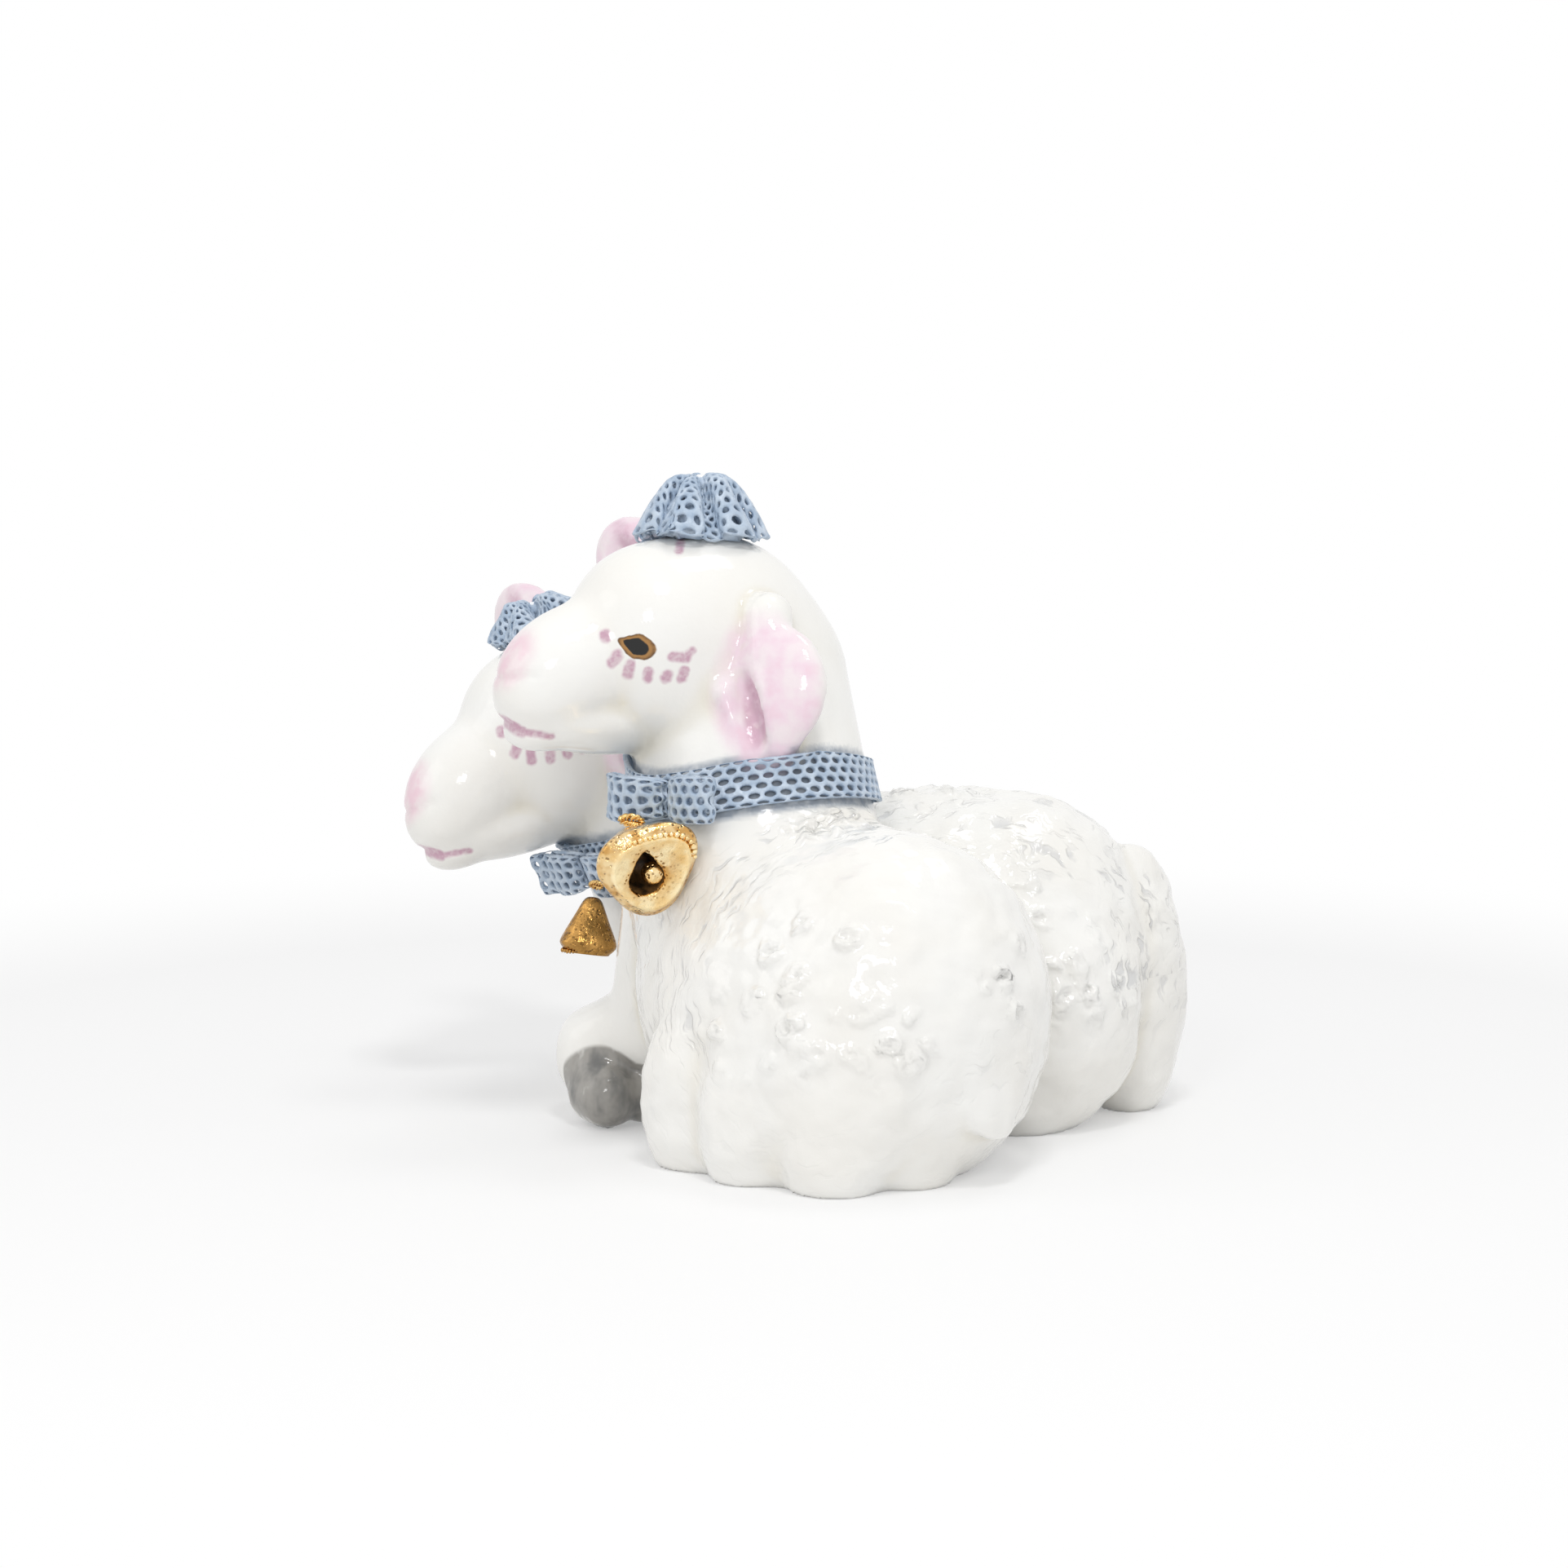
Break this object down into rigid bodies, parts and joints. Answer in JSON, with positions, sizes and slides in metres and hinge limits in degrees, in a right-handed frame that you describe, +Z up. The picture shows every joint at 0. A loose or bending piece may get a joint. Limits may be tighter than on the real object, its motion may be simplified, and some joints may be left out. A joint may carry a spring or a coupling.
{
  "type": "porcelain lamb pair figurine",
  "caption": "Glazed porcelain figurine of two lambs lying side by side, with pale blue porcelain lace collars, bows and crown rosettes, and a gilded bell at each throat.",
  "frame": {"origin": "middle of the box around the figurine, on the surface it stands on", "axes": "+Z up; +X along the figurine's length, from the lambs' heads towards their rumps; the nearer lamb, whose head is higher, is on the -Y side"},
  "size_m": [0.1107, 0.1063, 0.0902],
  "materials": {
    "porcelain": "warm white porcelain under a clear gloss glaze, with painted eyes, noses, ears, mouths and hooves",
    "lace": "pale grey-blue porcelain lace, satin glaze",
    "gilding": "bright burnished gold over fired clay"
  },
  "bodies": {
    "root": {"lambs_body": "porcelain", "near_collar": "lace", "far_collar": "lace", "near_bow": "lace", "far_bow": "lace", "near_rosette": "lace", "far_rosette": "lace", "near_bell": "gilding", "far_bell": "gilding", "near_bell_clapper": "gilding", "far_bell_clapper": "gilding", "near_bell_loop": "gilding", "far_bell_loop": "gilding"}
  },
  "joints": []
}
